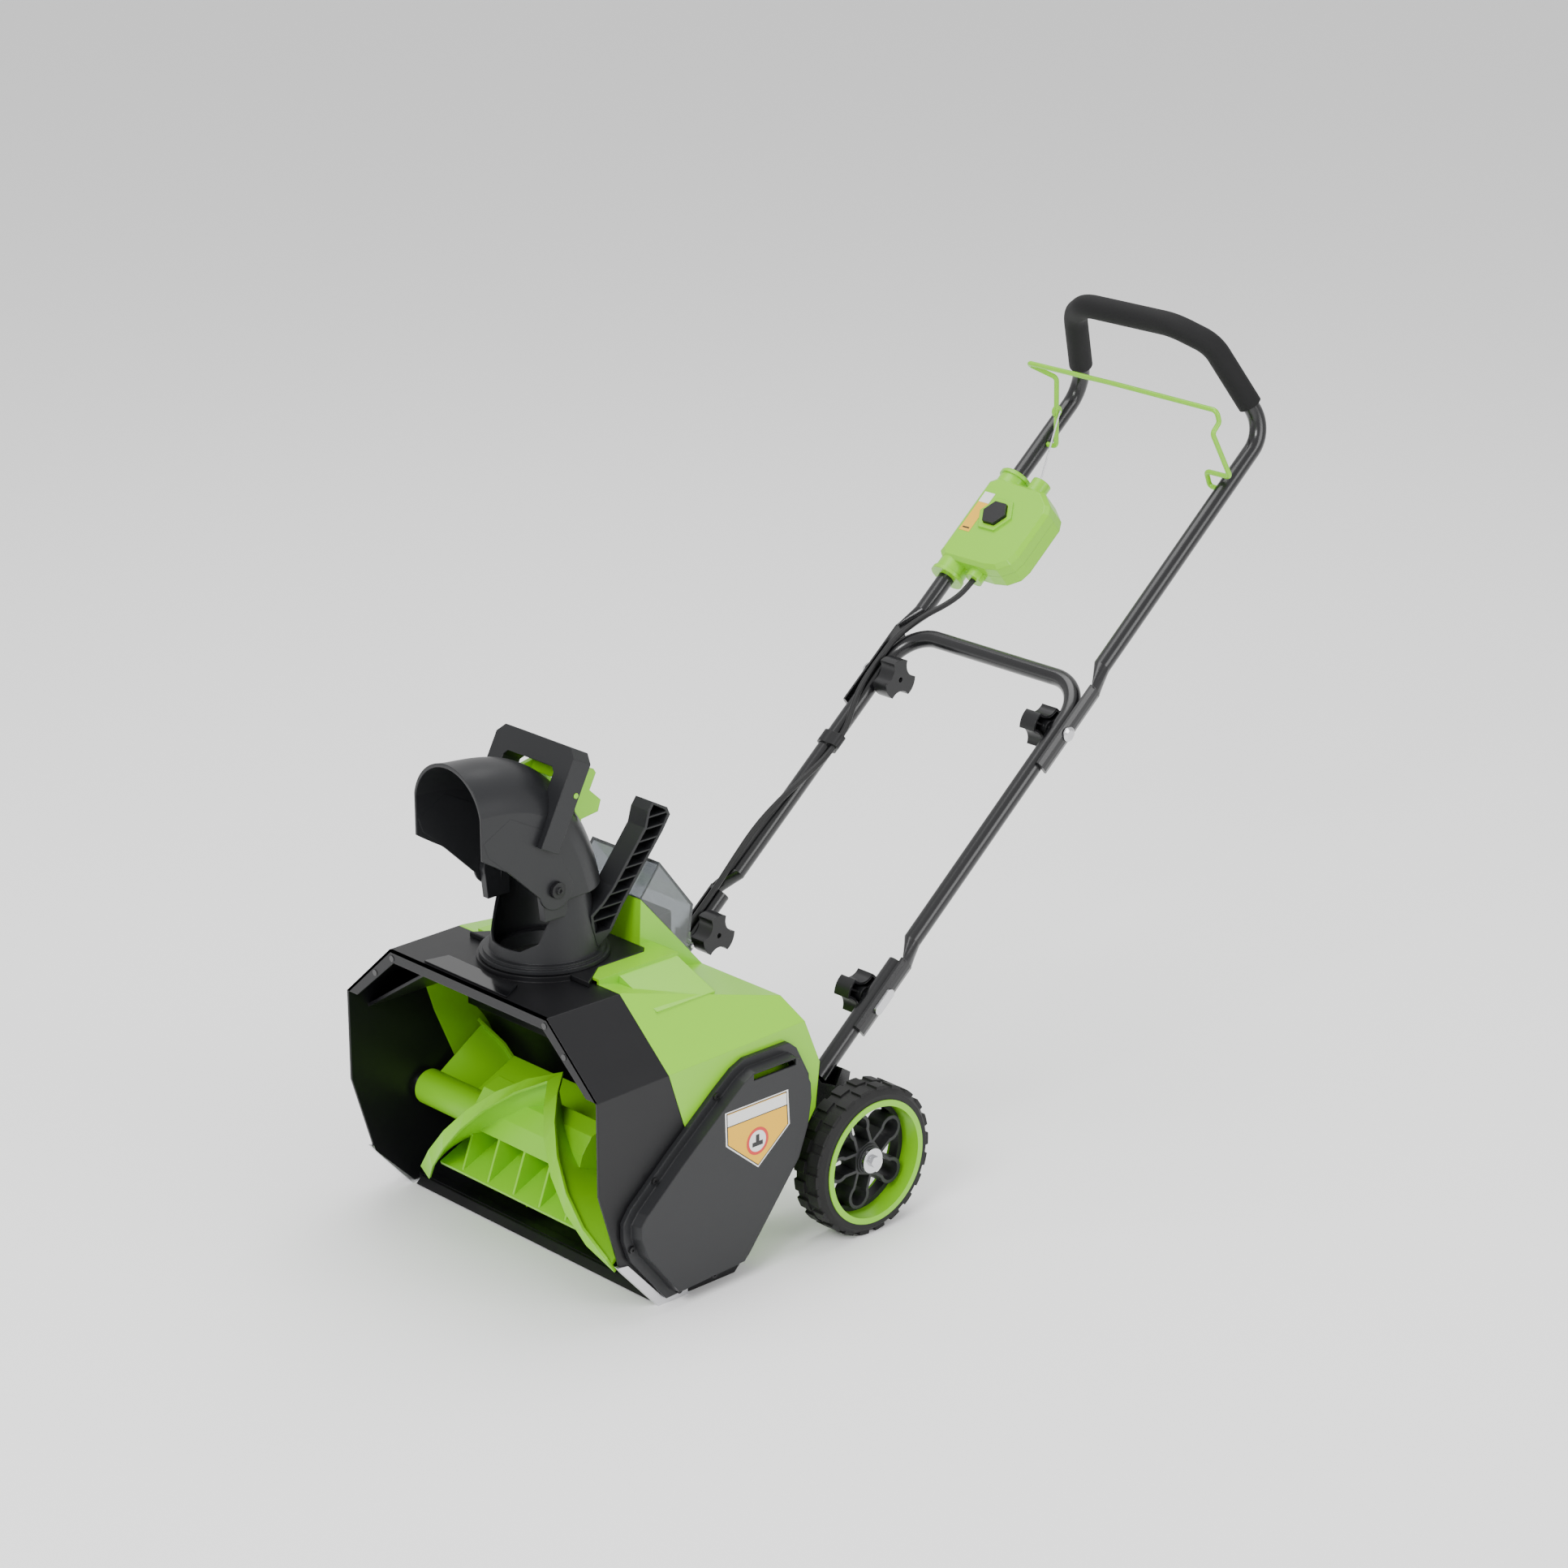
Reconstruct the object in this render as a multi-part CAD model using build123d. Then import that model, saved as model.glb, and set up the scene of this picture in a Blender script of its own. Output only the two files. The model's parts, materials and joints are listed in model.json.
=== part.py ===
from build123d import *
from math import cos, radians, sin
import os

# Single-stage battery snow thrower, 400 mm clearing width.
# Axes: +X is the machine's left, +Y runs back to the operator, +Z is up.
# Every y below is measured back from the front rim of the auger housing, every
# z up from the ground.  The exported origin is the middle of the footprint.

# --- driving dimensions (mm) ------------------------------------------------
NOSE_Y = -18.0                # deflector mouth, ahead of the front rim at y=0
TAIL_Y = 1077.8               # rearmost point of the handle bends
ORIGIN_Y = (NOSE_Y + TAIL_Y) / 2

CLEAR_WIDTH = 400.0           # working width between the side walls
WALL = 3.0                    # moulded wall thickness
SIDE = CLEAR_WIDTH / 2 + 5.5  # outer face of a side wall
CROWN_HALF = 128.0            # half width of the flat top of the rim
RIM_TOP = 322.0
BEVEL_Z = 252.0               # where the bevelled shoulder meets the side wall
SPLIT_Y = 96.0                # seam between black housing and green shroud

AUGER_Y, AUGER_Z = 100.0, 112.0
AUGER_R = 95.0
SCROLL_R = 103.0              # chamber wall behind the auger
BACK_WALL_Y = 163.0           # chamber wall above the scroll
AUGER_SHAFT_R = 8.0

CHUTE_Y = 106.0               # chute turns about the vertical line x=0, y=CHUTE_Y
THROAT_R = 54.0
FLANGE_R = 69.0
DECK_Z = 328.5                # top of the deck plate
PLATEAU_Z = 328.0
PLATEAU_Y = 207.0

PIVOT_Y, PIVOT_Z = 78.6, 420.0    # deflector tilt axis
HOOD_HALF = 54.0                  # half width of the deflector

POD_HALF = 56.0               # battery compartment on the rear deck
LID_HINGE_Y, LID_HINGE_Z = 264.0, 306.0

MOTOR_Y, MOTOR_Z = 254.0, 168.0
MOTOR_R = 44.0
BELT_X = 214.5                # middle of the belt drive, under the left side cover

AXLE_Y, AXLE_Z = 360.5, 84.5
AXLE_R = 6.0
TYRE_R = 84.5
TYRE_IN, TYRE_OUT = 197.0, 240.0

TUBE_R = 10.0
TUBE_WALL = 1.5
TUBE_X = 142.0                # handle tube centres
HANDLE_ANGLE = 39.9           # handle slope above the ground
UPPER_Y, UPPER_Z = 738.0, 459.3   # upper fold axis
MID_LENGTH = 374.0            # lower fold axis to upper fold axis
BOLT_R = 3.0
RUN = 0.05                    # radial running clearance
BAIL_Y, BAIL_Z = 1008.0, 686.0    # bail lever axis
WIRE_R = 3.0
CABLE_R = 3.5

TAN = (0.0, cos(radians(HANDLE_ANGLE)), sin(radians(HANDLE_ANGLE)))
UPN = (0.0, -sin(radians(HANDLE_ANGLE)), cos(radians(HANDLE_ANGLE)))
HANDLE = Plane(origin=(0, UPPER_Y, UPPER_Z), x_dir=(1, 0, 0), z_dir=UPN)


# --- small helpers ----------------------------------------------------------
def yz_prism(points, x0, x1):
    """Side-view polygon run from x0 to x1."""
    return extrude(Plane.YZ.offset(x0) * Polygon(*points, align=None), x1 - x0, dir=(1, 0, 0))


def xz_prism(points, y0, y1):
    """Front-view polygon run from y0 to y1."""
    plane = Plane(origin=(0, y1, 0), x_dir=(1, 0, 0), z_dir=(0, -1, 0))
    return extrude(plane * Polygon(*points, align=None), y1 - y0, dir=(0, -1, 0))


def xy_prism(points, z0, z1):
    """Plan-view polygon run from z0 to z1."""
    return extrude(Plane.XY.offset(z0) * Polygon(*points, align=None), z1 - z0, dir=(0, 0, 1))


def box(x0, x1, y0, y1, z0, z1):
    return Pos((x0 + x1) / 2, (y0 + y1) / 2, (z0 + z1) / 2) * Box(x1 - x0, y1 - y0, z1 - z0)


def x_rod(radius, x0, x1, y, z):
    """Round bar along X."""
    return Pos((x0 + x1) / 2, y, z) * Rot(0, 90, 0) * Cylinder(radius, abs(x1 - x0))


def z_rod(radius, x, y, z0, z1):
    return Pos(x, y, (z0 + z1) / 2) * Cylinder(radius, z1 - z0)


def rod(start, end, radius):
    """Round bar between two points."""
    a = Vector(*start)
    b = Vector(*end)
    plane = Plane(origin=a, z_dir=(b - a).normalized())
    return extrude(plane * Circle(radius), (b - a).length)


def x_ring(outer, inner, x0, x1, y, z):
    return x_rod(outer, x0, x1, y, z) - x_rod(inner, x0 - 1, x1 + 1, y, z)


def swept(points, radius, radii):
    """Round bar along straight runs joined by tangent arcs."""
    path = FilletPolyline(*points, radius=radii)
    first = Vector(*points[0])
    plane = Plane(origin=first, z_dir=(Vector(*points[1]) - first).normalized())
    return sweep(plane * Circle(radius), path=path)


def at_handle(x, s, u):
    """A point given along (s) and above (u) the handle line, from the upper fold axis."""
    return (x, UPPER_Y + TAN[1] * s + UPN[1] * u, UPPER_Z + TAN[2] * s + UPN[2] * u)


def mirror_x(shape):
    return mirror(shape, about=Plane.YZ)


LOWER = at_handle(0, -MID_LENGTH, 0)
LOWER_Y, LOWER_Z = LOWER[1], LOWER[2]


# --- housing and shroud -----------------------------------------------------
SIDE_PROFILE = [
    (0, 148), (0, RIM_TOP), (100, RIM_TOP), (278, 283), (310, 206), (304, 155),
    (209, 23), (186, 1), (128, 1), (80, 3), (28, 55),
]
INNER_PROFILE = [
    (-5, -5), (-5, 319), (99, 319), (275, 280.5), (306.7, 206), (300.8, 156),
    (206, 25), (184, 4), (92, 4), (92, -5),
]
BLACK_REGION = [
    (-6, -6), (-6, 340), (SPLIT_Y, 340), (SPLIT_Y, 255), (115.5, 195), (190, 22), (216, 22), (216, -6),
]
GREEN_REGION = [
    (SPLIT_Y + 0.3, 400), (SPLIT_Y + 0.3, 255), (115.8, 195), (190.3, 22.3), (330, 22.3), (330, 400),
]


def body_tunnel(inset):
    """Run of the body's front outline: upright sides under bevelled shoulders that climb rearwards."""
    side = SIDE - inset
    slope = (RIM_TOP - BEVEL_Z) / (SIDE - CROWN_HALF)
    drop = inset * (1 + slope * slope) ** 0.5
    shoulder = BEVEL_Z + slope * inset - drop
    top = 360.0
    crown = side - (top - shoulder) / slope
    points = [(-side, -20), (side, -20), (side, shoulder), (crown, top), (-crown, top), (-side, shoulder)]
    plane = Plane(origin=(0, -8, 0), x_dir=(1, 0, 0), z_dir=(0, -1, 0))
    return extrude(plane * Polygon(*points, align=None), 340, dir=(0, 1, 0.024))


def body_block(profile, inset):
    return yz_prism(profile, -SIDE + inset, SIDE - inset) & body_tunnel(inset)


def pod_block(inset):
    points = [
        (190 + inset, 250), (190 + inset, 330), (192 + inset, 379 - 1.6 * inset),
        (278 - inset, 283 - 0.6 * inset), (278 - inset, 250),
    ]
    return yz_prism(points, -POD_HALF + inset, POD_HALF - inset)


def plateau_block(inset):
    half = 98 - inset
    body = box(-half, half, 80, PLATEAU_Y - inset, 280, PLATEAU_Z - inset)
    for sign in (1, -1):
        wedge = [
            (0, PLATEAU_Z - 3 - inset), (98, 325 - inset), (157 - inset, 302 - inset), (151 - inset, 280),
            (0, 280),
        ]
        wedge = [(sign * x, z) for x, z in wedge]
        body += xz_prism(wedge, 124 + inset, PLATEAU_Y - 2 - inset)
    return body


DECK_OUTLINE = [(97, 84), (72, 118), (72, 181), (63, 189.5), (-63, 189.5), (-72, 181), (-72, 118), (-97, 84)]


def battery_axis_box(grow):
    return box(-38 - grow, 38 + grow, 196 - grow, 252 + grow, 200, 420)


def make_housing():
    shell = body_block(SIDE_PROFILE, 0) - body_block(INNER_PROFILE, 3)
    shell = shell & yz_prism(BLACK_REGION, -SIDE, SIDE)
    annulus = x_ring(SCROLL_R + WALL, SCROLL_R, WALL - SIDE, SIDE - WALL, AUGER_Y, AUGER_Z)
    keep = [
        (91, 0), (215, 0), (215, 193.5), (BACK_WALL_Y, 193.5), (BACK_WALL_Y, 112), (91, 112),
    ]
    scroll = annulus & yz_prism(keep, -SIDE, SIDE)
    back = box(-SIDE + 2, SIDE - 2, BACK_WALL_Y, BACK_WALL_Y + WALL, 191, 318) & body_block(INNER_PROFILE, 3.3)
    foot = box(-SIDE + 2, SIDE - 2, 88, 100, 2.7, 9.6)
    housing = shell + scroll + back + foot
    for sign in (1, -1):
        guide = [(sign * 203, 226), (sign * 203, 230), (sign * 66, 320), (sign * 60, 320)]
        housing += xz_prism(guide, 26, BACK_WALL_Y + 1) & body_block(INNER_PROFILE, 3.3)
    housing += z_rod(FLANGE_R + 3, 0, CHUTE_Y, 320, RIM_TOP + 6) & box(-90, 90, 0, 83.7, 300, 340)
    housing -= z_rod(THROAT_R, 0, CHUTE_Y, 290, 345)
    for sign in (1, -1):
        housing -= x_rod(14, sign * (SIDE - 6), sign * (SIDE + 1), AUGER_Y, AUGER_Z)
    return housing


CABLE_PORT = (-90.0, 302.5, 217.0)    # grommet in the rear wall


def make_shroud():
    outer = body_block(SIDE_PROFILE, 0) + pod_block(0) + plateau_block(0)
    inner = body_block(INNER_PROFILE, 3) + pod_block(WALL) + plateau_block(WALL)
    shroud = (outer - inner) & yz_prism(GREEN_REGION, -SIDE, SIDE)
    shroud -= xy_prism([(x * 1.004, 84 + (y - 84) * 1.003) for x, y in DECK_OUTLINE], 305, 345)
    shroud -= box(-41, 41, 198, 256, 270, 400)
    for sign in (1, -1):
        web = [(258, 303), (261, 309), (267.3, 303), (266, 293)]
        shroud += yz_prism(web, sign * 24, sign * 29)
        shroud += x_rod(4.4, sign * 24, sign * 29, LID_HINGE_Y, LID_HINGE_Z)
    shroud -= x_rod(2 + RUN, -60, 60, LID_HINGE_Y, LID_HINGE_Z)
    shroud -= rod((CABLE_PORT[0], 285, CABLE_PORT[2]), (CABLE_PORT[0], 325, CABLE_PORT[2]), 8)
    shroud -= x_rod(20, SIDE - 5, SIDE + 5, MOTOR_Y, MOTOR_Z)
    return shroud


def make_deck():
    deck = fillet(xy_prism(DECK_OUTLINE, RIM_TOP + 0.3, DECK_Z).edges().group_by(Axis.Z)[-1], 1.5)
    return deck - z_rod(THROAT_R, 0, CHUTE_Y, 300, 340)


# --- left belt cover, right cover, rails -------------------------------------
COVER_OUTLINE = [
    (259, 245), (270, 236), (288, 201), (289, 180), (284, 149), (271, 114), (196, 20), (186, 12),
    (84, 8), (36, 66), (27, 92), (27, 111), (38, 126), (92, 171), (158, 223), (179, 238), (196, 245),
]
COVER_PANEL = [
    (257, 235), (264, 230), (279, 199), (280, 181), (275, 151), (262, 117), (190, 29), (182, 21),
    (89, 17), (46, 71), (37, 94), (37, 108), (46, 119), (98, 163), (164, 214), (183, 228), (198, 235),
]
COVER_DEPTH = 20.0


def cover_face(points, x):
    return Plane.YZ.offset(x) * Polygon(*points, align=None)


def make_side_cover():
    """Left belt cover: screwed flange with a raised, drafted panel, open towards the wall."""
    base = SIDE + 0.3
    flange = extrude(cover_face(COVER_OUTLINE, base), 6, dir=(1, 0, 0))
    crown = [(y * 0.985 + 2.7, z * 0.985 + 1.9) for y, z in COVER_PANEL]
    bulge = loft([cover_face(COVER_PANEL, base + 5.9), cover_face(crown, base + COVER_DEPTH)], ruled=True)
    floor = [(y * 0.955 + 7.7, z * 0.955 + 5.6) for y, z in COVER_PANEL]
    hollow = extrude(cover_face(floor, base - 1), COVER_DEPTH - 1.5, dir=(1, 0, 0))
    grip = box(base + COVER_DEPTH - 3, base + COVER_DEPTH + 2, 196, 256, 225, 232)
    cover = flange + bulge - hollow - grip
    for y, z in COVER_SCREWS:
        cover -= x_rod(2.0, base - 1, base + 8, y, z)
    return cover


COVER_SCREWS = [(155, 215.5), (69, 147.5), (37, 80), (101, 12.8), (150, 13.4), (277, 140)]


def make_right_cover():
    """Right cover: shallower, over the auger bearing and motor end."""
    base = -SIDE - 0.3
    flange = extrude(cover_face(COVER_OUTLINE, base), 6, dir=(-1, 0, 0))
    crown = [(y * 0.985 + 2.7, z * 0.985 + 1.9) for y, z in COVER_PANEL]
    bulge = loft([cover_face(COVER_PANEL, base - 5.9), cover_face(crown, base - COVER_DEPTH)], ruled=True)
    floor = [(y * 0.955 + 7.7, z * 0.955 + 5.6) for y, z in COVER_PANEL]
    hollow = extrude(cover_face(floor, base + 1), COVER_DEPTH - 1.5, dir=(-1, 0, 0))
    cover = flange + bulge - hollow
    for y, z in COVER_SCREWS:
        cover -= x_rod(2.0, base - 8, base + 1, y, z)
    return cover


def make_screws():
    """Pan-head screws of both covers and of the front rim."""
    screws = []
    for sign in (1, -1):
        base = sign * (SIDE + 0.3)
        for y, z in COVER_SCREWS:
            shank = x_rod(1.95, base - sign * 0.2, base + sign * 6, y, z)
            head = x_rod(4.0, base + sign * 6, base + sign * 8.6, y, z)
            socket = x_rod(1.6, base + sign * 7.4, base + sign * 9, y, z)
            screws.append(shank + head - socket)
    return Compound(screws)


def make_skids():
    """Replaceable wear strips wrapped round the lower front corner of each side wall."""
    arc = [(22, 62), (30, 52), (77, 0), (118, 0), (118, 9), (82, 10), (36, 60)]
    strips = []
    for sign in (1, -1):
        strip = yz_prism(arc, sign * (SIDE - 4), sign * (SIDE + 1.8)) - body_block(SIDE_PROFILE, 0)
        strip -= yz_prism(COVER_OUTLINE, sign * (SIDE + 0.05), sign * (SIDE + 3))
        strips.append(strip)
    return Compound(strips)


def make_scraper():
    bar = yz_prism([(76, 2.2), (87.8, 0.6), (87.8, 9), (84, 9)], -194, 194)
    bar += box(-194, 194, 86, 104, 0.2, 0.95)
    return bar


# --- auger ------------------------------------------------------------------
def blade(start_angle, x0, x1, twist, thick, inner, outer):
    """One spiral flight: a radial slab turned as it runs along the shaft."""
    steps = 6
    flight = None
    for k in range(steps):
        a0 = start_angle + twist * k / steps
        a1 = start_angle + twist * (k + 1) / steps
        xa = x0 + (x1 - x0) * k / steps
        xb = x0 + (x1 - x0) * (k + 1) / steps
        faces = []
        for angle, x in ((a0, xa), (a1, xb)):
            c, s = cos(radians(angle)), sin(radians(angle))
            pts = []
            for r, w in ((inner, -thick), (outer, -thick), (outer, thick), (inner, thick)):
                pts.append((r * c - w * s, r * s + w * c))
            faces.append(Plane.YZ.offset(x) * Polygon(*pts, align=None))
        piece = loft(faces, ruled=True)
        flight = piece if flight is None else flight + piece
    return flight


AUGER_END = 196.0
APEX_X, APEX_ANGLE = 40.0, 100.0      # where the two arms of a chevron flight meet
SHORT_END = -104.0


def polar(points):
    """(radius, degrees) pairs round the auger axis as side-view points."""
    return [(r * cos(radians(a)), r * sin(radians(a))) for r, a in points]


def chevron():
    """One moulded flight: a bow-shaped web with a broad rim over a ribbed paddle."""
    flight = None
    for end, twist in ((AUGER_END, 113.0), (SHORT_END, 110.0)):
        web = blade(APEX_ANGLE, APEX_X, end, twist, 2.0, 16, AUGER_R - 3)
        rim = blade(APEX_ANGLE, APEX_X, end, twist, 11.0, AUGER_R - 4.5, AUGER_R - 1)
        flight = web + rim if flight is None else flight + web + rim
    drum = polar([(15, 92), (62, 102), (64, 122), (60, 142), (56, 160), (56, 165), (15, 165)])
    flight += yz_prism(drum, -58, 118)
    plate = polar([(15, 200), (79, 203), (79, 206), (15, 214)])
    flight += yz_prism(plate, -88, 134)
    rib = polar([(14, 160), (55, 162), (78, 204), (14, 204)])
    for x in (-54, -12, 30, 72, 114):
        flight += yz_prism(rib, x, x + 3)
    return flight


def make_auger():
    """Moulded rotor: two opposed chevron flights that carry snow from both ends to the middle."""
    body = x_rod(20, -AUGER_END, AUGER_END, 0, 0)
    flight = chevron()
    body = body + flight + mirror_x(Rot(180, 0, 0) * flight)
    body -= x_rod(AUGER_SHAFT_R, -210, 210, 0, 0)
    return Pos(0, AUGER_Y, AUGER_Z) * body


def make_auger_shaft():
    shaft = x_rod(AUGER_SHAFT_R, -209, BELT_X + 7.5, AUGER_Y, AUGER_Z)
    return shaft


def pulley(radius, bore, y, z):
    width = 7.0
    wheel = x_rod(radius, BELT_X - width, BELT_X + width, y, z)
    groove = x_ring(radius + 1, radius - 2.5, BELT_X - width + 2, BELT_X + width - 2, y, z)
    hub = x_rod(bore + 4, BELT_X - width - 1, BELT_X + width + 1, y, z)
    return wheel - groove + hub - x_rod(bore, BELT_X - 20, BELT_X + 20, y, z)


DRIVEN_R = 34.0
DRIVE_R = 12.0
BELT_GAP = 0.35
BELT_THICK = 3.5


def make_belt():
    """Ribbed belt round both pulleys, run flat with rounded ends."""
    half = 4.4

    def loop(grow):
        r1 = DRIVEN_R - 2.5 + BELT_GAP + grow
        r2 = DRIVE_R - 2.5 + BELT_GAP + grow
        dy, dz = MOTOR_Y - AUGER_Y, MOTOR_Z - AUGER_Z
        dist = Vector(dy, dz).length
        lean = (r1 - r2) / dist
        uy, uz = dy / dist, dz / dist
        side = (1 - lean * lean) ** 0.5
        solid = x_rod(r1, BELT_X - half, BELT_X + half, AUGER_Y, AUGER_Z)
        solid += x_rod(r2, BELT_X - half, BELT_X + half, MOTOR_Y, MOTOR_Z)
        corners = []
        for sign in (1, -1):
            ny, nz = uy * lean - sign * uz * side, uz * lean + sign * uy * side
            pair = [(AUGER_Y + r1 * ny, AUGER_Z + r1 * nz), (MOTOR_Y + r2 * ny, MOTOR_Z + r2 * nz)]
            corners += pair if sign == 1 else pair[::-1]
        return solid + yz_prism(corners, BELT_X - half, BELT_X + half)

    return loop(BELT_THICK) - loop(0)


def make_bearings():
    left = x_ring(13.95, AUGER_SHAFT_R + RUN, SIDE - 6, SIDE - 0.2, AUGER_Y, AUGER_Z)
    right = x_ring(13.95, AUGER_SHAFT_R + RUN, -SIDE + 0.2, -SIDE + 6, AUGER_Y, AUGER_Z)
    return Compound([left, right])


# --- motor and electrics ----------------------------------------------------
MOTOR_X0, MOTOR_X1 = 96.0, 198.0
MOTOR_SHAFT_R = 5.0


def make_stator():
    can = x_ring(MOTOR_R, 30.0, MOTOR_X0, MOTOR_X1, MOTOR_Y, MOTOR_Z)
    caps = x_ring(MOTOR_R, MOTOR_SHAFT_R + RUN, MOTOR_X0 - 4, MOTOR_X0, MOTOR_Y, MOTOR_Z)
    caps += x_ring(MOTOR_R, MOTOR_SHAFT_R + RUN, MOTOR_X1, SIDE - WALL, MOTOR_Y, MOTOR_Z)
    return can + caps


def make_rotor():
    core = x_rod(29.4, MOTOR_X0 + 8, MOTOR_X1 - 8, MOTOR_Y, MOTOR_Z)
    return core + x_rod(MOTOR_SHAFT_R, MOTOR_X0 - 8, BELT_X + 7.5, MOTOR_Y, MOTOR_Z)


def make_controller():
    body = box(-150, -60, 214, 256, 120, 165)
    for k in range(6):
        y = 217 + k * 7
        body += box(-148, -62, y, y + 2.2, 164.5, 178)
    for x in (-148, -66):
        body += box(x, x + 4, 250, 312, 124, 160) & body_block(INNER_PROFILE, 3)
    return body


def make_battery_bay():
    bay = battery_axis_box(2.8) & box(-60, 60, 180, 270, 190, 296)
    well = box(-38.5, 38.5, 195.5, 252.5, 199.6, 420)
    for x in (-30, 26):
        bay += box(x, x + 4, 250, 312, 195, 240) & body_block(INNER_PROFILE, 3)
    bay = bay + box(-41, 41, 193, 255, 193, 200) - well
    return bay


def make_terminals():
    base = box(-20, 20, 212, 236, 199.7, 206)
    for x in (-14, -5, 5, 14):
        base += box(x - 0.8, x + 0.8, 216, 232, 205.5, 222)
    return base


def make_battery():
    pack = box(-37.8, 37.8, 196, 252, 206.5, 345)
    pack -= box(-22, 22, 210, 238, 200, 226)
    pack = fillet(pack.edges().filter_by(Axis.Z), 4)
    pack -= box(-8, 8, 222, 244, 340, 350)
    return pack


def make_battery_latch():
    return box(-7.5, 7.5, 222.5, 239.5, 341.6, 349)


def make_lid():
    """Clear hood over the pack, hinged along its lower rear edge."""
    outline = [(193.2, 379), (221, 413), (268, 353), (260.5, 304)]
    inner = [(196.4, 378), (221.6, 408.4), (264.9, 352.4), (257.6, 305), (250, 298), (190, 370)]
    half = POD_HALF - 2
    lid = yz_prism(outline, -half, half) - yz_prism(inner, -half + 2.5, half - 2.5)
    for sign in (1, -1):
        lid += x_rod(4.2, sign * 30, sign * half, LID_HINGE_Y, LID_HINGE_Z)
        lid += yz_prism([(260.5, 304), (265, 309), (264, 322), (262, 322)], sign * 30, sign * half)
        lid -= x_rod(6.8, sign * 23.5, sign * 29.5, LID_HINGE_Y, LID_HINGE_Z)
    return lid - x_rod(2 + RUN, -80, 80, LID_HINGE_Y, LID_HINGE_Z)


def make_lid_pin():
    return x_rod(2, -POD_HALF - 1, POD_HALF + 1, LID_HINGE_Y, LID_HINGE_Z)


# --- chute, deflector, trigger ----------------------------------------------
LEVER_X0, LEVER_X1 = 23.0, 50.0


def chute_cone(inset):
    z0, z1 = DECK_Z + 0.8, 430.0
    low = Plane.XY.offset(z0 + (2.5 if inset else 0)) * Pos(0, CHUTE_Y) * Circle(60 - inset)
    mid = Plane.XY.offset(350) * Pos(0, CHUTE_Y) * Ellipse(57 - inset, 56 - inset)
    high = Plane.XY.offset(z1 + (2 if inset else 0)) * Pos(0, CHUTE_Y - 2) * Ellipse(47 - inset, 46 - inset)
    return loft([low, mid, high])


def make_chute():
    flange = z_rod(FLANGE_R, 0, CHUTE_Y, DECK_Z + 0.3, DECK_Z + 5)
    flange += z_rod(FLANGE_R - 4, 0, CHUTE_Y, DECK_Z + 5, DECK_Z + 8)
    neck = z_rod(THROAT_R - 0.5, 0, CHUTE_Y, 316, DECK_Z + 6)
    chute = flange + neck + chute_cone(0)
    chute -= z_rod(THROAT_R - 3.5, 0, CHUTE_Y, 300, DECK_Z + 8)
    chute -= chute_cone(2.6)
    mouth = [(-46, 500), (-46, 395), (-38, 358), (-22, 348), (22, 348), (38, 358), (46, 395), (46, 500)]
    chute -= xz_prism(mouth, 0, CHUTE_Y - 22)
    chute -= box(-70, 70, 0, 180, 424, 450)
    for sign in (1, -1):
        ear = x_rod(17, sign * 42, sign * 50.5, PIVOT_Y, PIVOT_Z)
        ear += yz_prism([(62, 420), (66, 386), (96, 386), (95, 420)], sign * 42, sign * 50.5)
        chute += ear - x_rod(4 + RUN, sign * 40, sign * 60, PIVOT_Y, PIVOT_Z)
    return chute


def make_lever():
    """Turning paddle behind the chute: a rib-stiffened shell open on its left face."""
    outline = [
        (131, 352), (128, 376), (145, 387), (160, 401), (204, 455), (209, 472), (216, 481),
        (236, 470), (240, 461), (229, 445), (203, 414), (172, 376), (156, 352),
    ]
    lever = yz_prism(outline, LEVER_X0, LEVER_X1)
    root = [(128, 340), (129, 374), (146, 388), (156, 352), (140, 340)]
    lever = lever + yz_prism(root, LEVER_X0 - 14, LEVER_X1)
    pocket = [
        (134, 355), (131.5, 374), (147, 384.5), (162.5, 399), (207, 453.5), (212, 471), (217, 477.5),
        (233, 468), (236, 461.5), (226, 446.5), (200.5, 416), (169.5, 378.5), (154, 355),
    ]
    lever -= yz_prism(pocket, LEVER_X0 + 3, LEVER_X1 + 1)
    ribs = yz_prism(pocket, LEVER_X0 + 2.5, LEVER_X1 - 0.2)
    for k in range(9):
        z = 368 + k * 12
        lever += ribs & box(LEVER_X0, LEVER_X1, 120, 250, z, z + 1.8)
    return lever - chute_cone(0) - z_rod(FLANGE_R + 0.1, 0, CHUTE_Y, 320, DECK_Z + 5.1)


def hood_section(origin, up, height, inset):
    """Arch: upright sides under a round top, seen along the flow of snow."""
    plane = Plane(origin=(0, origin[0], origin[1]), x_dir=(1, 0, 0),
                  z_dir=Vector(1, 0, 0).cross(Vector(0, up[0], up[1]).normalized()))
    w = HOOD_HALF - inset
    h = height - inset
    r = 44.0
    low = -inset * 2
    outline = [
        Line((-w, low), (-w, h - r)), ThreePointArc((-w, h - r), (0, h), (w, h - r)),
        Line((w, h - r), (w, low)), Line((w, low), (-w, low)),
    ]
    return plane * make_face(outline)


def hood_block(inset):
    front = (NOSE_Y - 3 * inset, 476)
    sections = [
        hood_section(front, (0.0, 1.0), 90, inset), hood_section((30, 446), (0.22, 0.97), 112, inset),
        hood_section((62, 424), (0.50, 0.87), 106, inset), hood_section((72, 412), (0.86, 0.50), 92, inset),
        hood_section((74, 404 - 2 * inset), (1.0, 0.03), 93, inset),
    ]
    return loft(sections)


PLATE_OUTLINE = [
    (-16, 494), (-10, 478), (21, 450), (69, 404), (84, 399), (96, 408), (100, 424), (88, 452), (70, 486),
    (20, 512),
]


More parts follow.
